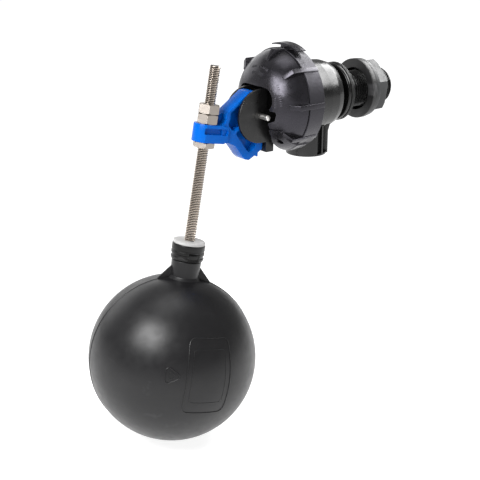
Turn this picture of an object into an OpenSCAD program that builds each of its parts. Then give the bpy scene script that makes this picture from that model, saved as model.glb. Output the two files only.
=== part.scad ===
// Pilot operated float valve for a tank wall, with its lever, rod and ball float.
// Frame: origin on the inlet axis, in the plane where the flange seal bears on the tank wall.
// +X runs along the inlet tail, away from the float. +Z is up. Millimetres.

/* [Float] */
// Diameter of the ball float
float_d = 150; // [120:1:180]
// Wall of the blow moulded float
float_wall = 3; // [2:0.5:5]
// Depth of the ball centre below the rod datum, measured along the rod
float_drop = 222.8; // [205:0.1:240]

/* [Rod] */
// Major diameter of the threaded rod
rod_d = 10; // [8:0.5:12]
// Length of rod above the rod datum
rod_top = 37.5; // [25:0.5:60]
// Lean of the rod from vertical with the valve fully open
rod_lean = 10.36; // [5:0.01:15]

/* [Tail] */
// Major diameter of the inlet thread
tail_d = 33.25; // [30:0.05:36]
// Length of the tail behind the tank wall face
tail_l = 56.2; // [50:0.1:70]
// Bore of the inlet
inlet_d = 25; // [18:0.5:25.5]

/* [Body] */
// Diameter of the barrel at its middle
barrel_d = 63.6; // [60:0.2:66]
// Diameter of the sealing flange
flange_d = 51; // [46:0.5:55]
// Outer diameter of the outlet spigot
outlet_d = 37; // [35:0.5:38]
// Depth of the outlet spigot below the inlet axis
outlet_drop = 53.4; // [50:0.1:70]

/* [Cap] */
// Outer diameter of the cap band
cap_d = 91; // [88:0.5:94]
// Height of the grip bars on the cap band
grip_h = 1.2; // [0.6:0.1:1.6]

/* [Back nut] */
// Across flats of the back nut
nut_af = 46; // [42:0.5:50]
// Clear gap for the tank wall between the seal and the loose washer
wall_gap = 22.7; // [6:0.1:24]

/* [Output] */
// Sub-part to draw, or all of them

/* [Hidden] */
$fn = 96;
eps = 0.05;                      // assembly gap between pieces that only touch
run = 0.05;                      // radial running clearance
big = 400;                       // longer than anything it cuts

// stations along the inlet axis
x_flange = -2.5;                 // rear of the moulded flange, where the seal starts
x_neck = -6;                     // front of the moulded flange
x_barrel = -14.4;                // rear edge of the barrel
x_head = -52;                    // rear of the body head inside the cap
x_split = -62;                   // joint face between the body and the diaphragm bead
x_cover = -65;                   // joint face between the bead and the clevis head
x_shoulder = -70;                // front of the clevis head flange, where the cap bears
x_rim = -50.6;                   // open edge of the cap
x_band = -68;                    // front of the cap band
x_nose = -94.4;                  // front of the cap dome
seat_x = -55;                    // lip of the main seat
lift = 4.5;                      // travel of the diaphragm from open to the seat

// pivot and pilot
pivot = [-94.1, 0, -10.1];
cam_r = 5;                       // base circle of the pilot cam
pilot_z = pivot[2] + cam_r;      // the plunger runs on a tangent of the base circle
swing = 45;                      // lever travel from open to shut
travel = cam_r * swing * PI / 180;
head_x = -86;                    // plunger face that the cam pushes, valve open
pilot_lip_x = -69.5;             // lip of the pilot seat
guide_r = 7.8;                   // wall round the pilot chamber
pad_t = 2;                       // thickness of the plunger pad
pin_d = 4.9;
ear_r = 24;
pin_l = 43;
ear_in = 8;
ear_out = 11;

// rod frame: local z runs up the rod, local x away from the float side
rod_foot = [-142.3, 0, 0];
boss_r = 11.3;
boss_top = -12.3;
boss_low = -28;
nut_h = 8.4;
nut_d = 17 / cos(30);
jam_h = 5;
disc_top = -115.5;
disc_h = 2.7;
collar_h = 15;
rod_low = -146;
stop_x = -88.5;                  // face of the travel stop on the clevis head
spring_roof = x_cover - 3.5;     // bottom of the spring pocket in the clevis head

module along_x() { rotate([0, 90, 0]) children(); }
module turned(p) { along_x() rotate_extrude() polygon(p); }
module tube_x(r, x0, x1) { translate([x0, 0, 0]) along_x() cylinder(r = r, h = x1 - x0); }
module on_rod() { translate(rod_foot) rotate([0, rod_lean, 0]) children(); }
module plate_y(y0, y1) { translate([0, y1, 0]) rotate([90, 0, 0]) linear_extrude(y1 - y0) children(); }
module box(x, y, z) { translate([x[0], y[0], z[0]]) cube([x[1] - x[0], y[1] - y[0], z[1] - z[0]]); }

// ---------------------------------------------------------------- body
tail_r = tail_d / 2;
relief = [44, 45.5];             // groove that parts the pipe thread from the nut thread
spigot = [-33.4, 0, 0];
chamber_r = 25.5;
nozzle_r = 15.5;
web = [[-24, -17.3], [-12, 12]]; // rear web of the spigot in x and y

module valve_body() {
    color([0.10, 0.10, 0.11]) difference() {
        union() {
            turned([[0, x_split], [40, x_split], [40, x_head], [barrel_d / 2 + 0.4, x_head],
                    [barrel_d / 2, -30], [31, -21], [28.9, x_barrel], [17.5, x_barrel], [17.5, x_neck],
                    [flange_d / 2, x_neck], [flange_d / 2, x_flange], [tail_r, x_flange],
                    [tail_r, relief[0]], [tail_r - 1.2, relief[0]], [tail_r - 1.2, relief[1]],
                    [tail_r, relief[1]], [tail_r, tail_l - 1], [tail_r - 1, tail_l], [0, tail_l]]);
            intersection() {
                translate([spigot[0], 0, -outlet_drop]) cylinder(r = outlet_d / 2, h = outlet_drop - 10);
                box([x_rim + 0.15, 0], [-outlet_d, outlet_d], [-outlet_drop, 0]);
            }
            box(web[0], web[1], [-outlet_drop, -15]);
            box([-48, -38], [-1, 1], [20, barrel_d / 2 + 1.6]);
        }
        tube_x(inlet_d / 2, -90, big);
        tube_x(inlet_d / 2 + 1.55, -90, -50);
        turned([[nozzle_r, -19], [chamber_r, -19], [chamber_r, -56], [31, -58], [31, x_split - 1],
                [nozzle_r, x_split - 1]]);
        tube_x(nozzle_r + 1, x_split - 1, -53.5);
        translate([spigot[0], 0, -outlet_drop - 1]) cylinder(r = 14, h = outlet_drop - 16);
        translate([spigot[0], 0, -outlet_drop - 1]) cylinder(r = 15.5, h = 16.4);
    }
}

module seat_ring() {
    color([0.72, 0.60, 0.33]) turned([[12, -50 - eps], [12, seat_x], [13.4, seat_x], [15, -54],
        [15, -53.5 - eps], [14, -53.5 - eps], [14, -50 - eps]]);
}

module flange_seal() {
    color([0.05, 0.05, 0.05]) turned([[tail_r + 0.2, x_flange + eps], [26, x_flange + eps], [26, 0],
        [tail_r + 0.2, 0]]);
}

// ---------------------------------------------------------------- cap
cap_r = cap_d / 2;
dome_r = 32.5;                   // rounding from the band to the flat of the dome
shell = 3;
grip_at = [0, 43, 97, 138, 179, 220, 315];
taper = 1;                       // the skirt of the cap narrows towards its rim
grip_rear = x_rim - 0.5;
grip_side = [[cap_r - 3, grip_rear], [cap_r + grip_h - taper, grip_rear], [cap_r + grip_h, x_band], [cap_r + grip_h, -79],
             [38, -84], [36, -84], [36, -80], [cap_r - 3, x_band + 2]];
hook_r = 49.8;                   // outside of the curved hook on the band
hook_a = [73, 115];
pad_h = 1.8;                     // the pad of the lock screw stands this far off the dome
pad_y = [-29, -14];
pad_z = [-46.5, -21.5];
screw_at = [-22.9, -32];         // lock screw in y and z
window_half = [[9.8, 15.6], [15.9, 15], [19.2, 13.5], [21.8, 10.6], [23.5, 6.5], [23.8, 3], [23, 0],
               [20.3, -3.9], [26.5, -4.3], [27.5, -6.5], [25, -12.8], [17.7, -15.6], [19, -20], [19, -27],
               [16.3, -33], [13, -60]];

module dome(r, x, round) {
    along_x() rotate_extrude() union() {
        polygon([[0, x + round], [r, x + round], [r - taper, x_rim], [0, x_rim]]);
        translate([0, x]) square([r - round, x_rim - x]);
        intersection() {
            translate([r - round, x + round]) circle(r = round);
            translate([0, x]) square([r, round]);
        }
    }
}

module cap() {
    color([0.10, 0.10, 0.11]) difference() {
        union() {
            dome(cap_r, x_nose, dome_r);
            turned([[0, x_band], [cap_r + 0.4, x_band], [cap_r + 0.4 - taper, x_rim - 2], [0, x_rim - 2]]);
            for (a = grip_at) rotate([a, 0, 0]) translate([0, 0, -2.2]) linear_extrude(4.4)
                polygon([for (p = grip_side) [p[1], p[0]]]);
            intersection() {
                dome(cap_r + grip_h, x_nose - pad_h, dome_r + pad_h);
                box([x_nose, -56], pad_y, pad_z);
            }
            rotate([93, 0, 0]) box([-62, -55], [cap_r - 2, hook_r - 1], [-7, 7]);
            rotate([hook_a[0], 0, 0]) along_x() rotate([0, 0, 90]) rotate_extrude(angle = hook_a[1] - hook_a[0])
                translate([hook_r - 2, -64]) square([2, 10]);
        }
        tube_x(40.15, x_shoulder, 0);
        difference() {
            dome(cap_r - shell, x_nose + shell, dome_r - shell);
            tube_x(60, x_shoulder - 3, 0);
        }
        tube_x(36, x_shoulder - 4, 0);
        translate([-100, 0, 0]) along_x() linear_extrude(100 + x_shoulder)
            polygon([for (s = [-1, 1], i = [0 : len(window_half) - 1])
                let (p = window_half[s < 0 ? i : len(window_half) - 1 - i]) [-p[1], s * p[0]]]);
        translate([-90, screw_at[0], screw_at[1]]) along_x() cylinder(r = 2.45, h = 18);
    }
}

module lock_screw() {
    color([0.25, 0.25, 0.27]) translate([-78, screw_at[0], screw_at[1]]) along_x() difference() {
        cylinder(r = 2.4, h = 5.9);
        translate([0, 0, -1]) cylinder(r = 1.2, h = 3.2, $fn = 6);
    }
}

// ---------------------------------------------------------------- clevis head
module ear_shape() {
    translate([pivot[0], pivot[2]]) circle(r = ear_r);
    translate([pivot[0], pivot[2] - ear_r]) square([x_shoulder - pivot[0] + 1, 2 * ear_r]);
}

module clevis_head() {
    color([0.09, 0.09, 0.10]) difference() {
        union() {
            turned([[0, x_cover], [39.8, x_cover], [39.8, x_shoulder + eps], [33, x_shoulder + eps],
                    [30, -72.5], [0, -72.5]]);
            plate_y(ear_in, ear_out) ear_shape();
            plate_y(-ear_out, -ear_in) ear_shape();
            translate([0, 0, pilot_z]) tube_x(6.6, -80, -70);
            translate([0, 0, pilot_z]) tube_x(guide_r, -75, -66);
            box([stop_x, -80], [-ear_out, ear_out], [-43.5, pivot[2] - ear_r + 1.5]);
        }
        difference() {
            tube_x(29, spring_roof, 0);
            translate([0, 0, pilot_z]) tube_x(guide_r - 0.3, -75, -65.5);
        }
        translate([0, 0, pilot_z]) {
            tube_x(3 + run, -90, -60);
            tube_x(5, -77.2, -67.5);
        }
        translate([-72, 0, pilot_z]) mirror([0, 0, 1]) cylinder(r = 1.8, h = 30);
        translate(pivot) rotate([90, 0, 0]) cylinder(r = pin_d / 2, h = 60, center = true);
    }
}

module pilot_seat() {
    color([0.72, 0.60, 0.33]) translate([0, 0, pilot_z]) turned([[0.9, -64.2], [3, -64.2], [3, -67.5],
        [2.2, -68], [1.6, pilot_lip_x], [0.9, pilot_lip_x]]);
}

module pivot_pin() {
    color([0.78, 0.76, 0.73]) translate(pivot) rotate([90, 0, 0]) difference() {
        cylinder(r = pin_d / 2, h = pin_l, center = true);
        for (s = [-1, 1]) translate([0, 0, s * pin_l / 2]) rotate_extrude()
            polygon([[pin_d / 2 - 0.6, 0], [pin_d / 2 + 1, 0], [pin_d / 2 + 1, -s * 1.6]]);
    }
}

// ---------------------------------------------------------------- main valve, open
skin_x = seat_x - lift;          // face of the diaphragm towards the seat
skin_t = 2;

module diaphragm() {
    color([0.06, 0.06, 0.06]) difference() {
        turned([[0, skin_x], [24, skin_x], [30.7, x_split - eps], [38.5, x_split - eps],
                [38.5, x_cover + eps], [30, x_cover + eps], [23, skin_x - skin_t], [0, skin_x - skin_t]]);
        tube_x(2.55, -80, 0);
        translate([0, 0, 6.5]) tube_x(1.3, -80, 0);
    }
}

module main_plate() {
    color([0.16, 0.16, 0.17]) difference() {
        turned([[0, skin_x - skin_t - eps], [22, skin_x - skin_t - eps], [21, skin_x - skin_t - 2.2],
                [0, skin_x - skin_t - 2.2]]);
        tube_x(2.55, -80, 0);
        translate([0, 0, 6.5]) tube_x(1.3, -80, 0);
    }
}

module under_plate() {
    color([0.16, 0.16, 0.17]) difference() {
        turned([[0, skin_x + eps], [9, skin_x + eps], [8, skin_x + 2], [0, skin_x + 2]]);
        tube_x(2.55, -80, 0);
        translate([0, 0, 6.5]) tube_x(1.3, -80, 0);
    }
}

module plate_screw() {
    color([0.78, 0.76, 0.73]) difference() {
        union() {
            tube_x(2.5, skin_x - skin_t - 2.2, skin_x + 2.2);
            turned([[0, skin_x + 2 + eps], [4.5, skin_x + 2 + eps], [4.5, skin_x + 3.4], [3.4, skin_x + 4.4],
                    [0, skin_x + 4.4]]);
        }
        box([skin_x + 3.4, skin_x + 5], [-0.5, 0.5], [-5, 5]);
    }
}

module bleed_jet() {
    color([0.72, 0.60, 0.33]) translate([0, 0, 6.5]) difference() {
        tube_x(1.25, skin_x - skin_t - 2.4, skin_x + 2.2);
        tube_x(0.35, -80, 0);
    }
}

// coil between the roof of the cover and the plate
module return_spring() {
    coils = 4;
    roof = spring_roof + eps;
    low = skin_x - skin_t - 2.2 - eps;
    wire = (low - roof) / coils / 2;
    color([0.75, 0.74, 0.72]) for (i = [0 : coils - 1])
        translate([roof + wire + 2 * wire * i, 0, 0]) along_x() rotate_extrude()
            translate([16 - i * 0.9, 0]) circle(r = wire * 0.96, $fn = 24);
}

// ---------------------------------------------------------------- pilot plunger
pad_x = pilot_lip_x - travel;    // sealing face of the pad, valve open

module plunger() {
    color([0.86, 0.85, 0.80]) translate([0, 0, pilot_z]) union() {
        turned([[0, head_x], [4.2, head_x], [4.5, head_x + 0.4], [4.5, head_x + 1.5], [3, head_x + 1.5],
                [3, pad_x - pad_t - 1], [4.3, pad_x - pad_t - 1], [4.3, pad_x - pad_t], [0, pad_x - pad_t]]);
    }
}

module plunger_pad() {
    color([0.06, 0.06, 0.06]) translate([0, 0, pilot_z]) tube_x(4.1, pad_x - pad_t + eps, pad_x);
}

// ---------------------------------------------------------------- lever
thick = 9.5;                     // half width of the boss on the rod
slim = 7.6;                      // half width between the ears
lobe_w = 5.8;                    // half width of the lower lobe
rib = 3.2;
slot_w = -18.6;                  // height of the boss slot along the rod
phi0 = (head_x - pivot[0]) / cam_r;
function cam_pt(p) = let (a = (p - phi0) * 180 / PI)
    [pivot[0] - cam_r * sin(a) + cam_r * p * cos(a), pivot[2] + cam_r * cos(a) + cam_r * p * sin(a)];
cam_steps = 14;
cam_curve = [for (i = [0 : cam_steps]) cam_pt(phi0 - 0.35 + (swing * PI / 180 + 0.45) * i / cam_steps)];
bar_low = [-127, -2.5];
bar_top = [-105, 11.8];
arm_top = [-100, 12.2];
lobe = [[-89.8, -36], [-90.4, -40.8], [-94.7, -43.4], [-94.9, -47.4], [-98.1, -45.6], [-104.7, -48.8],
        [-108.6, -47.8], [-111.5, -45], [-114.8, -40.3], [-119.2, -34.4], [-126.7, -30.7]];
web_end = [[-133.8, -12.5], [-132.2, -5.8]]; // edge of the thin web beside the rod nuts
arm_end = [-134, -13.8];
outline = concat(web_end, [bar_low, bar_top, arm_top], [for (i = [cam_steps : -1 : 0]) cam_curve[i]],
                 [[pivot[0] + 7, pivot[2] - 4], [-89.6, -30]], lobe, [[-134, -29.4], arm_end]);

module stroke(a, b, w) {
    d = b - a;
    translate(a) rotate(atan2(d[1], d[0])) translate([0, -w / 2]) square([norm(d), w]);
}

module lobe_lines() {
    stroke([-126.7, -30.7], [-108.2, -47.7], rib + 1.2);
    stroke([-108.2, -47.7], [-98, -46.5], 2 * rib);
    stroke([-98, -46.5], [-89.6, -36], 2 * rib);
}

module rib_lines() {
    intersection() {
        polygon(outline);
        union() {
            stroke(bar_low, bar_top, 2 * rib);
            stroke(bar_top, arm_top, 2 * rib);
            stroke(bar_low, [-128.4, -14], 2 * rib);
            stroke([-131.5, -11.5], [-107, -47], rib + 0.6);
            stroke([-123.6, -20.6], [-112, -16], rib);
            polygon([[-140, -12.6], [-128, -12.6], [-121, -24], [-126, -32], [-140, -29]]);
            translate([pivot[0], pivot[2]]) circle(r = 8);
            polygon(concat([[pivot[0], pivot[2]], arm_top],
                           [for (i = [cam_steps : -1 : 0]) cam_curve[i]]));
        }
    }
}

module lever_arm() {
    color([0.02, 0.33, 0.80]) difference() {
        union() {
            on_rod() intersection() {
                translate([0, 0, boss_low]) cylinder(r = boss_r, h = boss_top - boss_low);
                translate([-20, -thick, boss_low]) cube([40, 2 * thick, boss_top - boss_low]);
            }
            on_rod() translate([0, -thick, boss_low]) cube([10, 2 * thick, boss_top - boss_low]);
            plate_y(-2, 2) polygon(outline);
            plate_y(-slim, slim) rib_lines();
            plate_y(-lobe_w, lobe_w) intersection() {
                polygon(outline);
                lobe_lines();
            }
        }
        on_rod() translate([0, 0, -60]) cylinder(r = rod_d / 2 + 0.25, h = 80);
        translate(pivot) rotate([90, 0, 0]) cylinder(r = pin_d / 2 + run, h = 60, center = true);
        for (s = [-1, 1]) on_rod() translate([0, s * (thick + 5), slot_w]) rotate([90, 0, 0])
            linear_extrude(14, center = true) {
                translate([-4, -2.9]) square([20, 5.8]);
                translate([16, 0]) circle(r = 2.9);
            }
        on_rod() translate([15.8, 0, slot_w + 1]) rotate([90, 0, 0]) cylinder(r = 2.2, h = 40, center = true);
    }
}

// ---------------------------------------------------------------- rod and nuts
module float_rod() {
    color([0.78, 0.74, 0.69]) on_rod() translate([0, 0, rod_low]) cylinder(r = rod_d / 2, h = rod_top - rod_low);
}

module hex_nut(z, h, turn) {
    on_rod() translate([0, 0, z]) rotate([0, 0, turn]) difference() {
        intersection() {
            cylinder(d = nut_d, h = h, $fn = 6);
            rotate_extrude() polygon([[0, 0], [8.2, 0], [nut_d / 2 + 0.5, 1], [nut_d / 2 + 0.5, h - 1], [8.2, h],
                                      [0, h]]);
        }
        translate([0, 0, -1]) cylinder(r = rod_d / 2 + run, h = h + 2);
    }
}

module rod_nuts() {
    color([0.80, 0.78, 0.75]) for (i = [0, 1]) hex_nut(boss_top + eps + i * (nut_h + eps), nut_h, -5 + 3 * i);
}

module rod_jam_nut() {
    color([0.80, 0.78, 0.75]) hex_nut(boss_low - eps - jam_h, jam_h, 5);
}

// ---------------------------------------------------------------- float
ball_r = float_d / 2;
neck_top = disc_top - disc_h - collar_h;
gusset_az = -20;

module float_ball() {
    color([0.20, 0.20, 0.22]) on_rod() difference() {
        union() {
            translate([0, 0, -float_drop]) sphere(r = ball_r);
            translate([0, 0, -float_drop + ball_r - 4])
                cylinder(r1 = 12.4, r2 = 13.2, h = neck_top - eps + float_drop - ball_r + 4);
            rotate([0, 0, gusset_az]) {
                translate([0, 0.9, 0]) rotate([90, 0, 0]) linear_extrude(1.8)
                    polygon([[-13, -139], [13, -139], [24, -151.5], [24, -160], [-24, -160], [-24, -151.5]]);
                translate([0, 0.7, -float_drop]) rotate([90, 0, 0]) cylinder(r = ball_r + 0.5, h = 1.4);
            }
        }
        translate([0, 0, -float_drop]) sphere(r = ball_r - float_wall);
        translate([0, 0, rod_low - 2]) cylinder(r = rod_d / 2 + run, h = 80);
        translate([0, 0, -float_drop]) cylinder(r = 8, h = float_drop + rod_low - 2);
    }
}

module float_collar() {
    color([0.11, 0.11, 0.12]) on_rod() difference() {
        rotate_extrude() polygon([[rod_d / 2 + run, neck_top], [13.4, neck_top], [14.6, neck_top + 1.4],
            [14.6, disc_top - disc_h - eps], [rod_d / 2 + run, disc_top - disc_h - eps]]);
    }
}

module neck_disc() {
    color([0.92, 0.92, 0.90]) on_rod() rotate_extrude()
        polygon([[rod_d / 2 + run, disc_top - disc_h], [14.1, disc_top - disc_h], [14.1, disc_top - 0.5],
                 [13.6, disc_top], [rod_d / 2 + run, disc_top]]);
}

// ---------------------------------------------------------------- tank wall clamp
washer_t = 5;
washer_hang = 0.2;               // the loose washer hangs on the thread
washer_play = 2.8;               // radial room of the washer on the thread
nut_x = wall_gap + washer_t + eps;
nut_flange = 4.3;
nut_l = 15.6;

module wall_washer() {
    color([0.17, 0.17, 0.18]) translate([0, 0, -washer_hang]) turned([[tail_r + washer_play, wall_gap],
        [27.6, wall_gap], [27.6, wall_gap + washer_t], [tail_r + washer_play, wall_gap + washer_t]]);
}

module back_nut() {
    color([0.36, 0.37, 0.38]) difference() {
        union() {
            tube_x(27, nut_x, nut_x + nut_flange);
            intersection() {
                rotate([101.5, 0, 0]) translate([nut_x, 0, 0]) along_x()
                    rotate([0, 0, 90]) cylinder(d = nut_af / cos(30), h = nut_l, $fn = 6);
                turned([[0, nut_x], [30, nut_x], [30, nut_x + nut_l - 2], [25.4, nut_x + nut_l], [0, nut_x + nut_l]]);
            }
        }
        tube_x(tail_r + run, -10, big);
    }
}

valve_body();
seat_ring();
flange_seal();
cap();
lock_screw();
clevis_head();
pilot_seat();
pivot_pin();
diaphragm();
main_plate();
under_plate();
plate_screw();
bleed_jet();
return_spring();
plunger();
plunger_pad();
lever_arm();
float_rod();
rod_nuts();
rod_jam_nut();
float_ball();
float_collar();
neck_disc();
wall_washer();
back_nut();
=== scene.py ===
import math

import bmesh
import bpy
import numpy as np
from mathutils import Matrix, Vector
from mathutils.geometry import tessellate_polygon


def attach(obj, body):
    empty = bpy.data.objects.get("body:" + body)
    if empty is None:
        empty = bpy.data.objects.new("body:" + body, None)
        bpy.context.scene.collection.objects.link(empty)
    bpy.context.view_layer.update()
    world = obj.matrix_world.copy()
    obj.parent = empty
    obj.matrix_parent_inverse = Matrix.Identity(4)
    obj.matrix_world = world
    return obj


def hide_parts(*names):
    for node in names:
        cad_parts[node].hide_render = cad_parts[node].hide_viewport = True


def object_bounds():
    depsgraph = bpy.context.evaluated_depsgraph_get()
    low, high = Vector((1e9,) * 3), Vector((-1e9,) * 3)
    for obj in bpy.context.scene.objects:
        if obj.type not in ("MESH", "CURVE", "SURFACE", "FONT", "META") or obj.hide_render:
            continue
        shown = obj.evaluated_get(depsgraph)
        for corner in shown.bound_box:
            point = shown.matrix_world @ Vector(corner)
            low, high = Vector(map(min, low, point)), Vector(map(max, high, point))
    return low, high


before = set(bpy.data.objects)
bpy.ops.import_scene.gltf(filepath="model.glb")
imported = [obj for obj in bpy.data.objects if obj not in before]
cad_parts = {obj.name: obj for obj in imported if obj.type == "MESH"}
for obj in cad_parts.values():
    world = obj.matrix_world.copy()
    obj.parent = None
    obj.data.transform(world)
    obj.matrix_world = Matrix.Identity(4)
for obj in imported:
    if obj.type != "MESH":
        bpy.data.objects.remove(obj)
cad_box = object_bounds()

MM = 0.001                       # shapes are written in millimetres
WELD = 2e-4                      # vertices nearer than this are joined
LEAN = math.radians(10.36)       # the top of the float rod leans this far towards the tail
ROD_FOOT = (-142.3, 0.0, 0.0)    # origin of the rod's own frame, on the rod's axis
PIVOT = (-94.1, 0.0, -10.1)      # centre of the pivot pin
CAM_R = 5.0                      # base circle of the pilot cam
PILOT_Z = PIVOT[2] + CAM_R       # height of the plunger's axis
SPIGOT_X = -33.4                 # axis of the outlet spigot


# ---------------------------------------------------------------- mesh helpers, all in millimetres
def grid(rows, cols, wrap_rows=False, wrap_cols=False):
    """Quads over a grid of vertices."""
    faces = []
    for i in range(rows if wrap_rows else rows - 1):
        for j in range(cols if wrap_cols else cols - 1):
            a, b, c, d = i, (i + 1) % rows, j, (j + 1) % cols
            faces.append((a * cols + c, b * cols + c, b * cols + d, a * cols + d))
    return faces


def fillet(points, radius, n=4, closed=True):
    """The corners of a 2D line, rounded to one radius or to one radius per corner."""
    pts = [np.array(p, float) for p in points]
    radii = radius if hasattr(radius, "__len__") else [radius] * len(pts)
    out = []
    for i, p in enumerate(pts):
        if radii[i] <= 0 or (not closed and i in (0, len(pts) - 1)):
            out.append(p)
            continue
        a, b = pts[i - 1] - p, pts[(i + 1) % len(pts)] - p
        la, lb = np.linalg.norm(a), np.linalg.norm(b)
        ua, ub = a / la, b / lb
        ang = math.acos(max(-1, min(1, float(ua @ ub))))
        if ang > math.pi - 0.03 or ang < 0.03:
            out.append(p)
            continue
        d = min(radii[i] / math.tan(ang / 2), 0.48 * la, 0.48 * lb)
        mid = (ua + ub) / np.linalg.norm(ua + ub)
        c = p + mid * (d / math.cos(ang / 2))
        s, e = p + ua * d - c, p + ub * d - c
        a0 = math.atan2(s[1], s[0])
        turn = (math.atan2(e[1], e[0]) - a0 + math.pi) % (2 * math.pi) - math.pi
        r = np.linalg.norm(s)
        for k in range(n + 1):
            t = a0 + turn * k / n
            out.append(c + r * np.array([math.cos(t), math.sin(t)]))
    return [tuple(p) for p in out]


def arc(cx, cy, r, a0, a1, n):
    """Points on an arc, angles in degrees."""
    return [(cx + r * math.cos(math.radians(a0 + (a1 - a0) * k / n)),
             cy + r * math.sin(math.radians(a0 + (a1 - a0) * k / n))) for k in range(n + 1)]


def area(loop):
    """Signed area of a closed 2D loop."""
    p = np.array(loop)
    q = np.roll(p, -1, 0)
    return 0.5 * float(np.sum(p[:, 0] * q[:, 1] - q[:, 0] * p[:, 1]))


def inset(loop, d):
    """A closed loop moved to its left along mitred normals."""
    p = np.array(loop, float)
    e1, e2 = p - np.roll(p, 1, 0), np.roll(p, -1, 0) - p
    e1 /= np.maximum(np.linalg.norm(e1, axis=1), 1e-9)[:, None]
    e2 /= np.maximum(np.linalg.norm(e2, axis=1), 1e-9)[:, None]
    n1, n2 = np.c_[-e1[:, 1], e1[:, 0]], np.c_[-e2[:, 1], e2[:, 0]]
    m = (n1 + n2) / np.maximum(1 + np.sum(n1 * n2, 1), 0.35)[:, None]
    return p + m * d


def lathe(profile, n=96, closed=True, shape=None):
    """A line of (radius, height) turned about local Z. shape(angle, point) may change a point by angle."""
    rows = []
    for i in range(n):
        t = 2 * math.pi * i / n
        for p in profile:
            r, h = shape(t, p) if shape else p[:2]
            rows.append((r * math.cos(t), r * math.sin(t), h))
    return np.array(rows, float), grid(n, len(profile), True, closed)


def slab(outline, lo, hi, holes=(), edge=0.4, steps=3):
    """A plate with rounded edges: 2D outline and holes in (u, v), thickness along w.

    Points come back as (u, v, w)."""
    loops = [list(outline) if area(outline) > 0 else list(outline)[::-1]]
    loops += [list(h) if area(h) < 0 else list(h)[::-1] for h in holes]
    stations = []
    for k in range(steps + 1):
        f = math.pi / 2 * k / steps
        stations.append((edge * (1 - math.sin(f)), lo + edge * (1 - math.cos(f))))
    stations += [(d, hi + lo - w) for d, w in stations[::-1]]
    verts, faces, rings = [], [], []
    for loop in loops:
        n, base = len(loop), len(verts)
        for d, w in stations:
            verts += [(x, y, w) for x, y in inset(loop, d)]
        m = len(stations)
        faces += [tuple(base + k for k in f) for f in grid(m, n, False, True)]
        rings.append((base, base + (m - 1) * n, n))
    for which in (0, 1):
        index, polys = [], []
        for ring in rings:
            ids = list(range(ring[which], ring[which] + ring[2]))
            index += ids
            polys.append([Vector((verts[i][0], verts[i][1], 0)) for i in ids])
        for tri in tessellate_polygon(polys):
            faces.append(tuple(index[i] for i in tri))
    return np.array(verts, float), faces


def tube(path, normals, section, closed=False):
    """A section (across, up) swept along a 3D path, up along the given normals."""
    path, normals = np.array(path, float), np.array(normals, float)
    n = len(path)
    tan = np.roll(path, -1, 0) - np.roll(path, 1, 0)
    if not closed:
        tan[0], tan[-1] = path[1] - path[0], path[-1] - path[-2]
    tan /= np.linalg.norm(tan, axis=1)[:, None]
    side = np.cross(tan, normals)
    side /= np.linalg.norm(side, axis=1)[:, None]
    verts = [path[i] + side[i] * s + normals[i] * t for i in range(n) for s, t in section]
    faces = grid(n, len(section), closed, True)
    if not closed:
        m = len(section)
        faces += [tuple(range(m))[::-1], tuple(range((n - 1) * m, n * m))]
    return np.array(verts), faces


def thread(crest, root, pitch, z0, z1, n, chamfer):
    """The skin of a screw thread about local Z, cut square at both ends with a lead-in."""
    crest_w, flank = 0.16, 0.34          # shares of the pitch
    prof = [(0, crest), (crest_w, crest), (crest_w + flank, root), (1 - flank, root)]
    k, turns = len(prof), int(math.ceil((z1 - z0) / pitch)) + 2
    rows = []
    for i in range(n + 1):
        t = 2 * math.pi * i / n
        for j in range(turns * k):
            frac, r = prof[j % k]
            z = z0 + pitch * (j // k + frac + i / n - 1)
            if z <= z0 or z >= z1:
                z, r = min(max(z, z0), z1), root
            lead = min(z - z0, z1 - z) / chamfer
            r = min(r, root + (crest - root) * max(0.0, lead) + 1e-3)
            rows.append((r * math.cos(t), r * math.sin(t), z))
    return np.array(rows), grid(n + 1, turns * k)


def place(part, matrix=None, swap=None, move=None, spin_x=None):
    """A part with its axes renamed, turned and moved."""
    v, f = part
    v = np.array(v, float)
    if swap == "x":        # local X, Y, Z become Y, Z, X: an axis or a thickness along X
        v = np.c_[v[:, 2], v[:, 0], v[:, 1]]
    elif swap == "y":      # local X, Y, Z become X, Z, Y: a plate in XZ, its thickness along Y
        v = np.c_[v[:, 0], v[:, 2], v[:, 1]]
    if spin_x is not None:
        c, s = math.cos(math.radians(spin_x)), math.sin(math.radians(spin_x))
        v = np.c_[v[:, 0], v[:, 1] * c - v[:, 2] * s, v[:, 1] * s + v[:, 2] * c]
    if matrix is not None:
        v = v @ np.array(matrix, float).T
    if move is not None:
        v = v + np.array(move, float)
    return v, f


def on_rod(part, az=0.0):
    """From the rod's own frame, Z up the rod, to the object's, after a turn of az degrees."""
    a = math.radians(az)
    spin = np.array([[math.cos(a), -math.sin(a), 0], [math.sin(a), math.cos(a), 0], [0, 0, 1]])
    c, s = math.cos(LEAN), math.sin(LEAN)
    lean = np.array([[c, 0, s], [0, 1, 0], [-s, 0, c]])
    return place(part, matrix=lean @ spin, move=ROD_FOOT)


def clean(part):
    """A welded bmesh of one part, in millimetres."""
    verts, faces = part
    bm = bmesh.new()
    vs = [bm.verts.new(tuple(v)) for v in verts]
    for f in faces:
        if len(set(f)) > 2:
            try:
                bm.faces.new([vs[i] for i in f])
            except ValueError:
                pass
    bmesh.ops.remove_doubles(bm, verts=bm.verts, dist=WELD)
    bmesh.ops.dissolve_degenerate(bm, edges=bm.edges, dist=WELD)
    loose = [v for v in bm.verts if not v.link_faces]
    bmesh.ops.delete(bm, geom=loose, context="VERTS")
    bmesh.ops.recalc_face_normals(bm, faces=bm.faces)
    return bm


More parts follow.
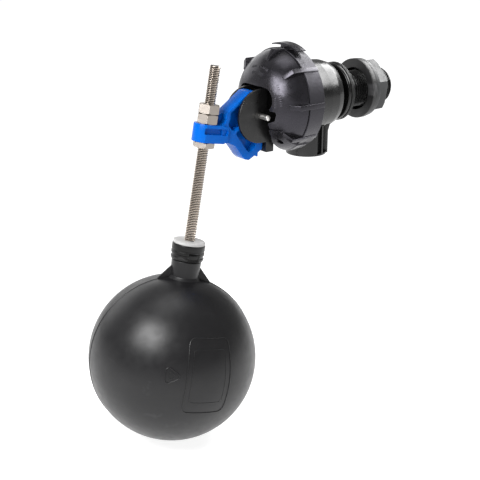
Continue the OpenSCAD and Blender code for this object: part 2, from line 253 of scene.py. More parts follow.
def as_object(part):
    """A helper object for a boolean."""
    bm = clean(part)
    mesh = bpy.data.meshes.new("temp")
    bm.to_mesh(mesh)
    bm.free()
    obj = bpy.data.objects.new("temp", mesh)
    bpy.context.scene.collection.objects.link(obj)
    return obj


def boolean(part, tools, op="DIFFERENCE"):
    """A part with others cut from it or joined to it."""
    base = as_object(part)
    helpers = [as_object(t) for t in tools]
    for h in helpers:
        m = base.modifiers.new("b", "BOOLEAN")
        m.object, m.operation, m.solver = h, op, "EXACT"
    bpy.context.view_layer.update()
    dg = bpy.context.evaluated_depsgraph_get()
    mesh = bpy.data.meshes.new_from_object(base.evaluated_get(dg))
    out = np.array([v.co for v in mesh.vertices]), [tuple(p.vertices) for p in mesh.polygons]
    for o in [base] + helpers:
        bpy.data.objects.remove(o)
    return out


def piece(name, parts, finish, body, stands_for=(), sharp=33):
    """One visible piece of the object, shaded smooth up to the angle sharp in degrees."""
    total = bmesh.new()
    for part in parts:
        bm = clean(part)
        mesh = bpy.data.meshes.new("t")
        bm.to_mesh(mesh)
        bm.free()
        total.from_mesh(mesh)
        bpy.data.meshes.remove(mesh)
    for v in total.verts:
        v.co = v.co * MM
    for f in total.faces:
        f.smooth = True
    for e in total.edges:
        if len(e.link_faces) == 2 and e.calc_face_angle(0) > math.radians(sharp):
            e.smooth = False
    mesh = bpy.data.meshes.new(name)
    total.to_mesh(mesh)
    total.free()
    obj = bpy.data.objects.new(name, mesh)
    bpy.context.scene.collection.objects.link(obj)
    mesh.materials.append(finish)
    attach(obj, body)
    if stands_for:
        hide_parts(*stands_for)
    return obj


# ---------------------------------------------------------------- looks
def look(name, color, rough, metallic=0.0, spec=0.5, grain=0.0, grain_scale=2200, wave=0.0, wave_scale=70,
         mottle=0.10, spread=0.08, scuff=0.0, scuff_tint=(0.35, 0.35, 0.36), dust=0.0, streak=None,
         edge=0.0, edge_tint=None, sub=0.0, zone=False, tint=None, root_shade_and_grease=None):
    """A procedural finish: colour mottle, uneven roughness, waviness, fine grain, scuffs, and edges lightened
    as wear and as a painted highlight.

    grain, wave and streak are heights in millimetres. streak is (scale, height, stretch). zone adds the
    coarse panel of the cap's band. root_shade_and_grease is (point, axis, inner radius, outer radius) of a
    thread, whose grooves get painted shade and grease, darker the deeper they go."""
    mat = bpy.data.materials.new(name)
    mat.use_nodes = True
    nt = mat.node_tree
    bsdf = nt.nodes["Principled BSDF"]
    new, join = nt.nodes.new, nt.links.new     # local names for adding a node and a link
    coord = new("ShaderNodeTexCoord").outputs["Object"]

    def noise(scale, detail=4, roughness=0.55, distort=0.0, stretch=None):
        """A noise value in object space."""
        n = new("ShaderNodeTexNoise")
        n.inputs["Scale"].default_value = scale
        n.inputs["Detail"].default_value = detail
        n.inputs["Roughness"].default_value = roughness
        n.inputs["Distortion"].default_value = distort
        if stretch:
            m = new("ShaderNodeMapping")
            m.inputs["Scale"].default_value = stretch
            join(coord, m.inputs["Vector"])
            join(m.outputs["Vector"], n.inputs["Vector"])
        else:
            join(coord, n.inputs["Vector"])
        return n.outputs["Fac"]

    def remap(value, a, b, c, d):
        """The range a to b carried to the range c to d."""
        m = new("ShaderNodeMapRange")
        for k, x in zip(("From Min", "From Max", "To Min", "To Max"), (a, b, c, d)):
            m.inputs[k].default_value = x
        join(value, m.inputs["Value"])
        return m.outputs["Result"]

    def mix(fac, a, b):
        """Colour a turned to colour b by a factor."""
        m = new("ShaderNodeMix")
        m.data_type = "RGBA"
        for s, x in ((m.inputs[0], fac), (m.inputs[6], a), (m.inputs[7], b)):
            if isinstance(x, (tuple, list)):
                s.default_value = (*x, 1)
            elif isinstance(x, (int, float)):
                s.default_value = x
            else:
                join(x, s)
        return m.outputs[2]

    def maths(op, a, b):
        """A maths node on two values or sockets."""
        m = new("ShaderNodeMath")
        m.operation = op
        m.use_clamp = True
        for s, x in zip(m.inputs, (a, b)):
            if isinstance(x, (int, float)):
                s.default_value = x
            else:
                join(x, s)
        return m.outputs[0]

    lo = tuple(c * (1 - mottle) for c in color)
    hi = tuple(min(1, c * (1 + mottle)) for c in color)
    base = mix(remap(noise(38, 5), 0.3, 0.7, 0, 1), lo, hi)
    rough_value = remap(noise(150, 5), 0.3, 0.7, max(0.03, rough - spread), min(1, rough + spread))
    if dust:
        cloud = maths("MULTIPLY", remap(noise(24, 6), 0.52, 0.8, 0, dust),
                      remap(noise(900, 3), 0.4, 0.65, 0.3, 1))
        base = mix(cloud, base, (0.42, 0.41, 0.40))
    if scuff:
        lines = remap(noise(60, 3, 0.6, 0.4, (1, 0.12, 1)), 0.62, 0.72, 0, 1)
        patch = remap(noise(14, 3), 0.48, 0.66, 0, scuff)
        fac = maths("MULTIPLY", lines, patch)
        base = mix(fac, base, scuff_tint)
        rough_value = maths("ADD", rough_value, maths("MULTIPLY", fac, 0.25))
    # painted shade and grease: the thread's grooves are painted darker the nearer they come to the root radius
    if root_shade_and_grease:
        arm, reach, far = new("ShaderNodeVectorMath"), new("ShaderNodeVectorMath"), new("ShaderNodeVectorMath")
        arm.operation, reach.operation, far.operation = "SUBTRACT", "CROSS_PRODUCT", "LENGTH"
        arm.inputs[1].default_value, reach.inputs[1].default_value = root_shade_and_grease[0], root_shade_and_grease[1]
        join(coord, arm.inputs[0])
        join(arm.outputs[0], reach.inputs[0])
        join(reach.outputs[0], far.inputs[0])
        base = mix(remap(far.outputs["Value"], root_shade_and_grease[2], root_shade_and_grease[3], 0.88, 0), base, (0.05, 0.042, 0.035))
    zone_mask = None
    if zone:
        xyz = new("ShaderNodeSeparateXYZ")
        join(coord, xyz.inputs[0])
        zone_mask = remap(xyz.outputs["X"], -0.0682, -0.0676, 0, 1)
        for channel, a, b in (("Z", 0.0015, 0.0025), ("Z", 0.031, 0.029), ("Y", -0.028, -0.030)):
            zone_mask = maths("MULTIPLY", zone_mask, remap(xyz.outputs[channel], a, b, 0, 1))
        rough_value = maths("ADD", rough_value, maths("MULTIPLY", zone_mask, 0.22))
    # painted highlight and wear: rounded-off edges, found with the bevel normal, are lightened towards
    # edge_tint
    if edge:
        bev = new("ShaderNodeBevel")
        bev.inputs["Radius"].default_value = 0.0005
        geo = new("ShaderNodeNewGeometry")
        dot = new("ShaderNodeVectorMath")
        dot.operation = "DOT_PRODUCT"
        join(bev.outputs["Normal"], dot.inputs[0])
        join(geo.outputs["Normal"], dot.inputs[1])
        edge_wear_and_highlight = maths("MULTIPLY", remap(dot.outputs["Value"], 0.97, 0.8, 0, edge),
                     remap(noise(300, 4), 0.35, 0.6, 0.2, 1))
        base = mix(edge_wear_and_highlight, base, edge_tint or scuff_tint)
    join(base, bsdf.inputs["Base Color"])
    join(rough_value, bsdf.inputs["Roughness"])
    bsdf.inputs["Metallic"].default_value = metallic
    bsdf.inputs["Specular IOR Level"].default_value = spec
    if tint:
        bsdf.inputs["Specular Tint"].default_value = (*tint, 1)
    if sub:
        bsdf.inputs["Subsurface Weight"].default_value = sub
        bsdf.inputs["Subsurface Radius"].default_value = (0.002, 0.002, 0.002)
    normal = None
    for scale, amount, stretch in ((wave_scale, wave, None), (grain_scale, grain, None),
                                   (streak[0], streak[1], streak[2]) if streak else (0, 0, None)):
        if amount:
            b = new("ShaderNodeBump")
            b.inputs["Strength"].default_value = 1.0
            b.inputs["Distance"].default_value = amount * MM
            join(noise(scale, 3, 0.6, 0, stretch), b.inputs["Height"])
            if normal is not None:
                join(normal, b.inputs["Normal"])
            normal = b.outputs["Normal"]
    if zone_mask is not None:
        b = new("ShaderNodeBump")
        b.inputs["Distance"].default_value = 0.14 * MM
        join(noise(620, 5, 0.7), b.inputs["Height"])
        join(zone_mask, b.inputs["Strength"])
        join(normal, b.inputs["Normal"])
        normal = b.outputs["Normal"]
    if normal is not None:
        join(normal, bsdf.inputs["Normal"])
    return mat


# edge lightens the rims of these finishes, partly as wear and partly as a painted highlight
CAP = look("nylon_cap", (0.0050, 0.0048, 0.0056), 0.29, tint=(1.0, 0.96, 1.12), grain=0.008,
           grain_scale=1500, wave=0.10, wave_scale=90, scuff=0.25, dust=0.03, edge=0.30,
           scuff_tint=(0.12, 0.12, 0.125), zone=True)
BARREL = look("nylon_body", (0.005, 0.005, 0.005), 0.25, grain=0.006, grain_scale=1600, wave=0.04,
              wave_scale=60, scuff=0.2, dust=0.02, edge=0.30, scuff_tint=(0.12, 0.12, 0.125))
HEAD = look("nylon_head", (0.006, 0.0058, 0.006), 0.33, grain=0.008, wave=0.02, scuff=0.2, edge=0.6,
            edge_tint=(0.20, 0.20, 0.20), scuff_tint=(0.10, 0.10, 0.10))
RUBBER = look("rubber", (0.004, 0.004, 0.004), 0.5, grain=0.015, wave=0.02, dust=0.05)
WASHER = look("washer_plastic", (0.012, 0.012, 0.0125), 0.42, grain=0.012, wave=0.03, scuff=0.25, edge=0.3)
NUT = look("nut_plastic", (0.034, 0.035, 0.0365), 0.45, grain=0.014, grain_scale=1400, wave=0.04, scuff=0.3,
           edge=0.35)
# the lever's rims are painted a brighter blue, a painted highlight as well as wear
BLUE = look("lever_plastic", (0.0, 0.10, 0.47), 0.24, grain=0.004, wave=0.05, wave_scale=110,
            spread=0.05, spec=0.11, edge=0.22, edge_tint=(0.02, 0.30, 0.95))
STEEL_NUT = look("nut_steel", (0.40, 0.36, 0.325), 0.36, metallic=1, mottle=0.05, spread=0.05, grain=0.002,
                 streak=(500, 0.003, (1, 1, 0.12)), scuff=0.1, scuff_tint=(0.36, 0.33, 0.29))
PIN_STEEL = look("pin_steel", (0.88, 0.86, 0.83), 0.33, metallic=1, mottle=0.08, spread=0.06,
                 streak=(600, 0.005, (1, 0.1, 1)))
BRASS = look("brass", (0.66, 0.48, 0.20), 0.3, metallic=1, mottle=0.1, grain=0.006)
FLOAT = look("float_polyethylene", (0.010, 0.0098, 0.0107), 0.36, spec=0.38, grain=0.010, grain_scale=1100,
             wave=0.08, wave_scale=28, mottle=0.12, spread=0.05, scuff=0.12, dust=0.02,
             scuff_tint=(0.10, 0.10, 0.105))
COLLAR = look("collar_nylon", (0.005, 0.0048, 0.0048), 0.33, spec=0.35, grain=0.008, wave=0.05, scuff=0.2,
              edge=0.3, scuff_tint=(0.10, 0.10, 0.10))
WHITE = look("disc_nylon", (0.47, 0.466, 0.462), 0.45, grain=0.010, wave=0.03, mottle=0.05, sub=0.1)
INNER = look("plate_nylon", (0.03, 0.03, 0.032), 0.5, grain=0.01, wave=0.03)
IVORY = look("acetal", (0.70, 0.68, 0.60), 0.35, grain=0.006, wave=0.02, mottle=0.05)
DARK_STEEL = look("screw_steel", (0.05, 0.05, 0.055), 0.4, metallic=1, grain=0.01, mottle=0.15)

# ---------------------------------------------------------------- body: barrel, spigot, flange
TAIL_R, TAIL_L, BORE = 16.625, 56.19, 12.5         # 1 inch pipe thread, its length, its bore
TAIL_PITCH, TAIL_DEPTH = 2.309, 1.45
OUTLET_R, SPIGOT_R, SPIGOT_LOW = 15.5, 18.5, -53.4
barrel_line = fillet([(0, -62), (40, -62), (40, -52), (32.2, -52), (31.8, -30), (31, -21), (28.9, -14.4),
                      (17.5, -14.4), (17.5, -6), (26.2, -6), (26.2, -2.5), (0, -2.5)],
                     [0, 0.5, 0.5, 0.4, 4, 5, 1.0, 0.6, 0.8, 1.7, 1.2, 0], closed=False)
barrel = place(lathe(barrel_line, 144, closed=False), swap="x")
spigot_line = fillet([(0, SPIGOT_LOW), (SPIGOT_R, SPIGOT_LOW), (SPIGOT_R, -12), (0, -12)], [0, 0.7, 0, 0],
                     closed=False)
spigot = place(lathe(spigot_line, 96, closed=False), move=(SPIGOT_X, 0, 0))
web = place(slab(fillet([(-28, SPIGOT_LOW), (-17.3, SPIGOT_LOW), (-17.3, -33), (-14.8, -26), (-14.8, -20),
                         (-28, -20)], 0.6), -12, 12, edge=0.6), swap="y")
flutes = []                      # two grooves down the spigot, one each side of the web
for a0, a1 in ((-97, -80), (-74, -44)):
    inner = arc(0, 0, 15.7, a0, a1, 8) + arc(0, 0, 24, a1, a0, 8)
    flutes.append(place(slab(inner, -51.6, -24, edge=0.01, steps=1), move=(SPIGOT_X, 0, 0)))
bump = place(slab(fillet([(-48, 25), (-38, 25), (-40, 33.4), (-46, 33.4)], 0.6), -1, 1, edge=0.3), swap="y")
chamber = place(lathe([(0, -19), (25.5, -19), (25.5, -56), (31, -58), (31, -63), (0, -63)], 96, closed=False),
                swap="x")
bore = place(lathe([(0, -70), (BORE, -70), (BORE, 10), (0, 10)], 96, closed=False), swap="x")
outlet = place(lathe([(0, -60), (OUTLET_R, -60), (OUTLET_R, -52), (14, -51), (14, -18), (0, -18)], 96,
                     closed=False), move=(SPIGOT_X, 0, 0))
body_mesh = boolean(barrel, [spigot, web, bump], "UNION")
body_mesh = boolean(body_mesh, [bore, chamber, outlet] + flutes)
nozzle_line = fillet([(BORE + 0.3, -20), (15.5, -20), (15.5, -53.4), (14.1, -53.4), (14.1, -50),
                      (BORE + 0.3, -50)], 0.3)
nozzle = place(lathe(nozzle_line, 96), swap="x")
piece("valve_body_shell", [body_mesh, nozzle], BARREL, "valve", ["valve_body"])

tail_skin = place(thread(TAIL_R, TAIL_R - TAIL_DEPTH, TAIL_PITCH, -0.3, TAIL_L, 96, chamfer=1.6), swap="x")
core_r, core_end = TAIL_R - 1.4, TAIL_L - 0.02
core_line = fillet([(BORE, -2.6), (core_r, -2.6), (core_r, core_end), (BORE, core_end)], [0, 0, 0.3, 0.8])
tail_core = place(lathe(core_line, 96), swap="x")
piece("tail_thread", [tail_skin, tail_core], BARREL, "valve", sharp=40)

seal_line = fillet([(TAIL_R + 0.2, -2.45), (26.3, -2.45), (26.8, -2.0), (26.8, -1.2), (26.4, -0.9),
                    (26.8, -0.6), (26.8, 0.2), (26.4, 0.7), (TAIL_R + 0.2, 0.7)],
                   [0, 0.2, 0.2, 0.1, 0.1, 0.1, 0.3, 0.2, 0])
piece("flange_seal_ring", [place(lathe(seal_line, 128), swap="x")], RUBBER, "valve",
      ["flange_seal"])

# ---------------------------------------------------------------- cap
CAP_R, X_RIM, X_BAND, X_NOSE, DOME_R = 45.5, -50.6, -68.0, -94.4, 32.5
CAP_BORE, SHOULDER, CAP_WALL = 40.15, -70.0, 3.0
DOME_X, DOME_C = X_NOSE + DOME_R, CAP_R - DOME_R     # centre of the round of the nose: along X, from the axis
dome_out = [(0, X_NOSE)] + [(r, x) for x, r in arc(DOME_X, DOME_C, DOME_R, 180, 102, 28)]
dome_out += [(CAP_R - 0.9, X_BAND - 0.4), (CAP_R - 1.1, X_BAND - 0.3), (CAP_R - 1.1, X_BAND + 0.05),
             (CAP_R + 0.1, X_BAND + 0.25), (CAP_R + 0.4, X_BAND + 0.7), (CAP_R - 0.5, X_RIM - 0.6),
             (CAP_R - 1.0, X_RIM), (CAP_BORE, X_RIM)]
dome_in = [(CAP_BORE, SHOULDER), (36, SHOULDER), (36, -73)]
dome_in += [(r, x) for x, r in arc(DOME_X, DOME_C, DOME_R - CAP_WALL, 115, 180, 16)]
dome_in += [(0, X_NOSE + CAP_WALL)]


def deeper_groove(t, p):
    """The groove before the band is deep between two of the grip bars only."""
    r, x = p
    if 2.46 < t < 3.09 and r > 44 and X_BAND - 0.6 < x < X_BAND + 0.1:
        r, x = r - 1.6, x - 0.6
    return r, x


dome = place(lathe(dome_out + dome_in, 180, closed=False, shape=deeper_groove), swap="x")
# the opening in the nose for the ears, the lever and the ends of the pin, as one half and its mirror image
window_side = [(-9.8, 15.6), (-15.9, 15), (-19.2, 13.5), (-21.8, 10.6), (-23.5, 6.5), (-23.8, 3), (-23, 0),
               (-20.3, -3.9), (-26.5, -4.3), (-27.5, -6.5), (-25, -12.8), (-17.7, -15.6), (-19, -20),
               (-19, -27), (-16.3, -33), (-13, -60)]
window_round = [2] * 7 + [0.6] * 4 + [2] * 4 + [0]
window_2d = fillet(window_side + [(-y, z) for y, z in window_side[::-1]], window_round + window_round[::-1], 3)
window = place(slab(window_2d, -98, -62, edge=0.01, steps=1), swap="x")
parts = [boolean(dome, [window])]
# grip bars, at degrees round the cap
bar_side = fillet([(X_RIM - 0.3, 42), (X_RIM - 0.3, 45.6), (X_BAND, 46.8), (-79, 46.8), (-84.4, 37.6),
                   (-82.5, 34), (-72, 36), (-66, 42)], [0, 0.3, 0, 0.9, 0.6, 0, 0, 0])
for a in (0, 43, 97, 138, 179, 220, 315):
    parts.append(place(slab(bar_side, -2.2, 2.2, edge=0.4), swap="y", spin_x=a - 90))
# the curved hook on top, thinner towards its two ends
HOOK_R, HOOK_N = 48.76, 25
half_n = (HOOK_N - 1) // 2
hook_path, hook_up = [], []
for k in range(HOOK_N):
    a = math.radians(73 + 42 * k / (HOOK_N - 1))
    hook_path.append((-59, HOOK_R * math.cos(a), HOOK_R * math.sin(a)))
    hook_up.append((0, math.cos(a), math.sin(a)))
hook = tube(hook_path, hook_up, fillet([(-5, -1), (5, -1), (5, 1), (-5, 1)], 0.45, 3))
hook_verts = hook[0].reshape(HOOK_N, -1, 3)
for k in range(HOOK_N):
    thin = 1 - 0.55 * (k - half_n) ** 2 / half_n ** 2
    radial = np.array(hook_up[k])
    above = hook_verts[k] @ radial - (HOOK_R + 1)
    hook_verts[k] += np.outer(above * (thin * 1.1 - 1), radial)
parts.append((hook_verts.reshape(-1, 3), hook[1]))
stem = slab(fillet([(-62, 43), (-55.5, 43), (-55.5, 48.6), (-62, 48.6)], 0.4), -7, 7, edge=0.4)
parts.append(place(stem, swap="y", spin_x=93 - 90))
# the raised pad that takes the lock screw
SCREW_Y, SCREW_Z, SCREW_R, PAD_H = -22.9, -32.0, 2.4, 1.8
pad_line = [(0, X_NOSE - PAD_H)] + [(r, x) for x, r in arc(DOME_X, 12.4, DOME_R + PAD_H, 180, 102, 28)]
pad_line += [(46.7, -68), (46.6, -56), (0, -56)]
pad_box = place(slab([(-29, -46), (-14, -46), (-14, -21.5), (-29, -21.5)], -99, -57, edge=0.3), swap="x")
pad = boolean(place(lathe(pad_line, 120, closed=False), swap="x"), [pad_box], "INTERSECT")
screw_hole = place(slab(arc(SCREW_Y, SCREW_Z, SCREW_R + 0.05, 0, 345, 23), -99, -57, edge=0.01, steps=1),
                   swap="x")
parts.append(boolean(pad, [window, screw_hole]))
parts[0] = boolean(parts[0], [screw_hole])
# two rows of plain raised dashes on the nose: radius, length of a dash, ranges of degrees
DASH_STEP, DASH_HALF = 3.4, 0.35
for row_r, row_l, groups in ((26.5, 2.6, ((76, 92), (97, 112), (146, 160), (164, 186))),
                             (31.5, 2.4, ((72, 86), (90, 114), (144, 156), (160, 182)))):
    corner = row_r - DOME_C
    row_x = DOME_X - math.sqrt(DOME_R ** 2 - corner ** 2)
    tilt = math.asin(corner / DOME_R)
    dash = fillet([(-row_l / 2, -DASH_HALF), (row_l / 2, -DASH_HALF), (row_l / 2, DASH_HALF),
                   (-row_l / 2, DASH_HALF)], 0.2, 2)
    v, f = slab(dash, -0.6, 0.28, edge=0.15, steps=2)
    radial, out = v[:, 0], v[:, 2]
    v = np.c_[row_x + radial * math.sin(tilt) - out * math.cos(tilt), v[:, 1],
              row_r + radial * math.cos(tilt) + out * math.sin(tilt)]
    for first, last in groups:
        for k in range(int((last - first) / DASH_STEP)):
            parts.append(place((v, f), spin_x=first + k * DASH_STEP - 90))
piece("cap_shell", parts, CAP, "valve", ["cap"], sharp=30)

socket = arc(SCREW_Y, SCREW_Z, 1.25, 0, 300, 5)
screw = place(slab(arc(SCREW_Y, SCREW_Z, SCREW_R, 0, 345, 23), -78, -72.1, holes=[socket], edge=0.25), swap="x")
piece("lock_screw_head", [screw], DARK_STEEL, "valve", ["lock_screw"])

# ---------------------------------------------------------------- clevis head
EAR_R, EAR_IN, EAR_OUT, PIN_R = 24.0, 8.0, 11.0, 2.45
disc = arc(PIVOT[0], PIVOT[2], EAR_R, 74.6, 270, 62)
ear = [(-69, PIVOT[2] - EAR_R), (-69, -5.6), (-87.7, -5.6)] + disc
root = [(-69, PIVOT[2] - EAR_R), (-69, 12.4)] + disc
pin_hole = arc(PIVOT[0], PIVOT[2], PIN_R + 0.02, 0, 352.5, 47)
head = []
for side_y in (-1, 1):
    for outline, near, far, edge in ((ear, EAR_IN, EAR_OUT, 0.55), (root, 8.2, 9.4, 0.3)):
        lo_y, hi_y = sorted((near * side_y, far * side_y))
        head.append(place(slab(outline, lo_y, hi_y, holes=[pin_hole], edge=edge, steps=4), swap="y"))
plate_line = [(0, -68.5), (29, -68.5), (29, -65), (39.8, -65), (39.8, -69.9), (33, -69.9), (30, -72.5),
              (0, -72.5)]
plunger_bore = lathe([(0, -80), (6.0, -80), (6.0, -60), (0, -60)], 32, closed=False)
head.append(boolean(place(lathe(plate_line, 96, closed=False), swap="x"),
                    [place(plunger_bore, swap="x", move=(0, 0, PILOT_Z))]))
guide = [(3.05, -80), (6.2, -80), (6.6, -79.6), (6.6, -72), (9.5, -72), (9.5, -66), (5, -66), (5, -77.2),
         (3.05, -77.2)]
head.append(place(lathe(guide, 48), swap="x", move=(0, 0, PILOT_Z)))
stop_block = fillet([(-88.5, -43.5), (-80, -43.5), (-80, -32.6), (-88.5, -32.6)], 0.6)
head.append(place(slab(stop_block, -EAR_OUT, EAR_OUT, edge=0.5), swap="y"))
piece("clevis_head_plates", head, HEAD, "valve", ["clevis_head"], sharp=30)
PIN_HALF = 21.5
pin_line = fillet([(0, -PIN_HALF), (PIN_R, -PIN_HALF), (PIN_R, PIN_HALF), (0, PIN_HALF)], [0, 0.8, 0.8, 0],
                  closed=False)
piece("pivot_pin_rod", [place(lathe(pin_line, 48, closed=False), swap="y", move=PIVOT)], PIN_STEEL, "valve",
      ["pivot_pin"])

# ---------------------------------------------------------------- lever
SWING = 45.0                               # travel of the lever in degrees
PLUNGER_X = -86.0                          # plunger's face with the valve open
PHI0 = (PLUNGER_X - PIVOT[0]) / CAM_R      # roll angle of the involute at that face


def cam_point(p):
    """A point of the involute cam that pushes the plunger."""
    a = p - PHI0
    return (PIVOT[0] - CAM_R * math.sin(a) + CAM_R * p * math.cos(a),
            PIVOT[2] + CAM_R * math.cos(a) + CAM_R * p * math.sin(a))


cam = [cam_point(PHI0 - 0.35 + (math.radians(SWING) + 0.45) * i / 20) for i in range(21)]
upper = [(-126.8, -2.8), (-105, 11.8), (-100, 12.2)]
heel = [(PIVOT[0] + 7, PIVOT[2] - 4), (-89.8, -30)]
lobe = [(-89.8, -36), (-90.4, -40.8), (-94.7, -43.4), (-94.9, -47.4), (-98.1, -45.6), (-104.7, -48.8),
        (-108.6, -47.8), (-111.5, -45), (-114.8, -40.3), (-119.2, -34.4), (-126.7, -30.7)]
front = [(-134, -29.4), (-134, -13.8), (-130.8, -12.5), (-129.3, -9.5), (-129.3, -4.4)]
radii = [0.5, 1.5, 0.5] + [0] * len(cam) + [1, 0.5]
radii += [0.5, 0.8, 0.6, 0.6, 0.8, 1.5, 1.2, 1.5, 2, 3, 2] + [0.5, 0.5, 1.5, 2, 1]
outer = fillet(upper + cam[::-1] + heel + lobe + front, radii, 3)
pin_gap = arc(PIVOT[0], PIVOT[2], PIN_R + 0.05, 0, 352.5, 47)
pocket_up = fillet([(-124.5, -4.3), (-105.4, 7.6), (-100.8, 7.4), (-100.5, 2), (-103.2, -6), (-104.2, -13),
                    (-107, -16.6), (-117, -18.3), (-119.4, -20.4), (-122.7, -19.8), (-127, -14.6),
                    (-124.7, -8.6)],
                   [1.2, 1.5, 1, 1, 1, 1, 1.5, 1.2, 0.8, 1.2, 1.5, 2.5], 4)
pocket_low = fillet([(-119, -23.2), (-105.6, -41.2), (-101.5, -40.6), (-97.5, -36.8), (-96, -30), (-101, -20.5),
                     (-108.5, -19.6), (-116.3, -21.2)], [1.2, 1.5, 1.2, 1.5, 1, 1, 1, 1], 4)
web_2d = fillet([(-133.6, -12.8), (-132.2, -6.2), (-126, -2.6), (-105, 10.8), (-99.5, 10), (-100, -10),
                 (-98, -34), (-98, -42), (-107, -45), (-118, -32), (-132, -27)], 0.5)
LEVER_HALF, WEB_HALF = 7.6, 1.2
openings = [pocket_up, pocket_low, pin_gap]
lever = [place(slab(outer, -LEVER_HALF, LEVER_HALF, holes=openings, edge=0.5), swap="y"),
         place(slab(web_2d, -WEB_HALF, WEB_HALF, edge=0.3), swap="y")]
# the boss on the rod, in the rod's own frame, with a slot and a small round pocket in each side
BOSS_R, BOSS_TOP, BOSS_LOW, THICK, SLOT_Z, ROD_HOLE = 11.3, -12.3, -28.0, 9.5, -17.9, 5.25
boss_2d = [(10.0, -THICK), (10.0, THICK)]
half = math.degrees(math.asin(THICK / BOSS_R))
boss_2d += arc(0, 0, BOSS_R, 180 - half, 180 + half, 24)
rod_hole = arc(0, 0, ROD_HOLE, 0, 352.5, 47)
boss = slab(fillet(boss_2d, [0.4, 0.4, 1.2] + [0] * 23 + [1.2], 4), BOSS_LOW, BOSS_TOP, holes=[rod_hole],
            edge=0.6, steps=4)
slot_line = fillet([(-7.2, SLOT_Z - 2.7), (17.4, SLOT_Z - 2.7), (17.4, SLOT_Z + 2.7), (-7.2, SLOT_Z + 2.7)],
                   [0.8, 2.85, 2.85, 0.8], 5)
slot_end = arc(14.2, SLOT_Z, 2.2, 0, 345, 23)
slot_tools = []
for s in (-1, 1):
    for outline, inward, outward in ((slot_line, 3.6, 3.6), (slot_end, 8.5, 2)):
        cut = slab(outline, s * THICK - inward, s * THICK + outward, edge=0.01, steps=1)
        slot_tools.append(place(cut, swap="y"))
neck_line = fillet([(6, BOSS_LOW), (14.5, BOSS_LOW), (18.6, BOSS_LOW + 3), (17.6, BOSS_TOP - 1.2),
                    (13, BOSS_TOP), (6, BOSS_TOP)], [0, 2, 2, 3, 2, 0], 4)
neck = place(slab(neck_line, -THICK, THICK, edge=0.6, steps=4), swap="y")
rod_cut = lathe([(0, -60), (ROD_HOLE, -60), (ROD_HOLE, 20), (0, 20)], 48, closed=False)
boss = boolean(boss, [boolean(neck, [rod_cut])], "UNION")
boss = boolean(boss, slot_tools)
lever.append(on_rod(boss))
piece("lever_casting", lever, BLUE, "lever", ["lever_arm"], sharp=30)

# ---------------------------------------------------------------- rod and its nuts
ROD_R, ROD_TOP, ROD_LOW = 5.0, 37.5, -146.0
ROD_PITCH, ROD_ROOT = 1.5, ROD_R - 0.86
rod_skin = thread(ROD_R, ROD_ROOT, ROD_PITCH, ROD_LOW, ROD_TOP, 40, chamfer=1.1)
core_low, core_top = ROD_LOW + 0.02, ROD_TOP - 0.02
rod_core = lathe([(0, core_low), (ROD_ROOT, core_low), (ROD_ROOT, core_top), (0, core_top)], 40, closed=False)
rod_foot, rod_ahead = on_rod((np.array([[0.0, 0, 0], [0, 0, 1.0]]), []))[0]
# the rod's thread gets painted shade and grease down in its grooves
ROD_STEEL = look("thread_steel", (0.82, 0.745, 0.67), 0.24, metallic=1, mottle=0.05, spread=0.05,
                 streak=(700, 0.002, (1, 1, 0.08)), scuff=0.12, scuff_tint=(0.28, 0.24, 0.20),
                 root_shade_and_grease=(rod_foot * MM, rod_ahead - rod_foot, 0.00425, 0.00485))
piece("float_rod_thread", [on_rod(rod_skin), on_rod(rod_core)], ROD_STEEL, "lever", ["float_rod"],
      sharp=40)


def hexagon(af, h, bore_r, start, fall=0.5, n=96, both=True):
    """A hexagon nut about local Z whose corners are turned off at the top end, or at both ends.

    af is the width across flats, h the height and start the radius where the turned corner begins."""
    first = start if both else af
    prof = [(bore_r, 0.5), (bore_r + 0.5, 0), (first, 0), ("hex", 0), ("hex", 1), (start, h), (bore_r + 0.5, h),
            (bore_r, h - 0.5)]

    def shape(t, p):
        r, z = p
        flat = af / 2 / math.cos((t + math.pi / 6) % (math.pi / 3) - math.pi / 6)
        if r == "hex":
            r = flat
            drop = max(0.0, (flat - start)) * fall
            if z == 1:
                z = h - drop
            else:
                z = drop if both else 0.0
        return min(r, flat), z

    return lathe(prof, n, True, shape)


GAP = 0.05                       # clearance between pieces that touch
NUT_FLATS, NUT_H, JAM_H, NUT_FACE = 17, 8.4, 5.0, 8.15
nuts = []
for i, turn in ((0, 25), (1, 28)):
    z = BOSS_TOP + GAP + i * (NUT_H + GAP)
    nuts.append(on_rod(place(hexagon(NUT_FLATS, NUT_H, ROD_R + GAP, NUT_FACE), move=(0, 0, z)), turn))
piece("rod_hex_nuts", nuts, STEEL_NUT, "lever", ["rod_nuts"], sharp=28)
jam = place(hexagon(NUT_FLATS, JAM_H, ROD_R + GAP, NUT_FACE), move=(0, 0, BOSS_LOW - GAP - JAM_H))
jam = on_rod(jam, 35)
piece("rod_jam_hex_nut", [jam], STEEL_NUT, "lever", ["rod_jam_nut"], sharp=28)

# ---------------------------------------------------------------- float
BALL_R, DROP, SEAM_AZ = 74.35, 222.8, -20.0        # radius, distance of its centre down the rod, seam's turn
DISC_TOP, DISC_H, COLLAR_H = -115.5, 2.7, 15.0
NECK_TOP = DISC_TOP - DISC_H - COLLAR_H
join_a = math.degrees(math.asin(12.4 / BALL_R))    # where the neck meets the ball
ball_line = [(5.05, NECK_TOP - GAP), (12.9, NECK_TOP - GAP), (13.2, NECK_TOP - 0.5), (12.5, -DROP + 75.4),
             (13.0, -DROP + 74.55)]
ball_line += [(BALL_R * math.sin(math.radians(t)), -DROP + BALL_R * math.cos(math.radians(t)))
              for t in np.linspace(join_a + 1.6, 180, 110)]
ball = on_rod(lathe(ball_line, 192, closed=False))
seam_at = np.linspace(0.16, 2 * math.pi - 0.16, 240)
seam_path = [(BALL_R * math.sin(t), 0, -DROP + BALL_R * math.cos(t)) for t in seam_at]
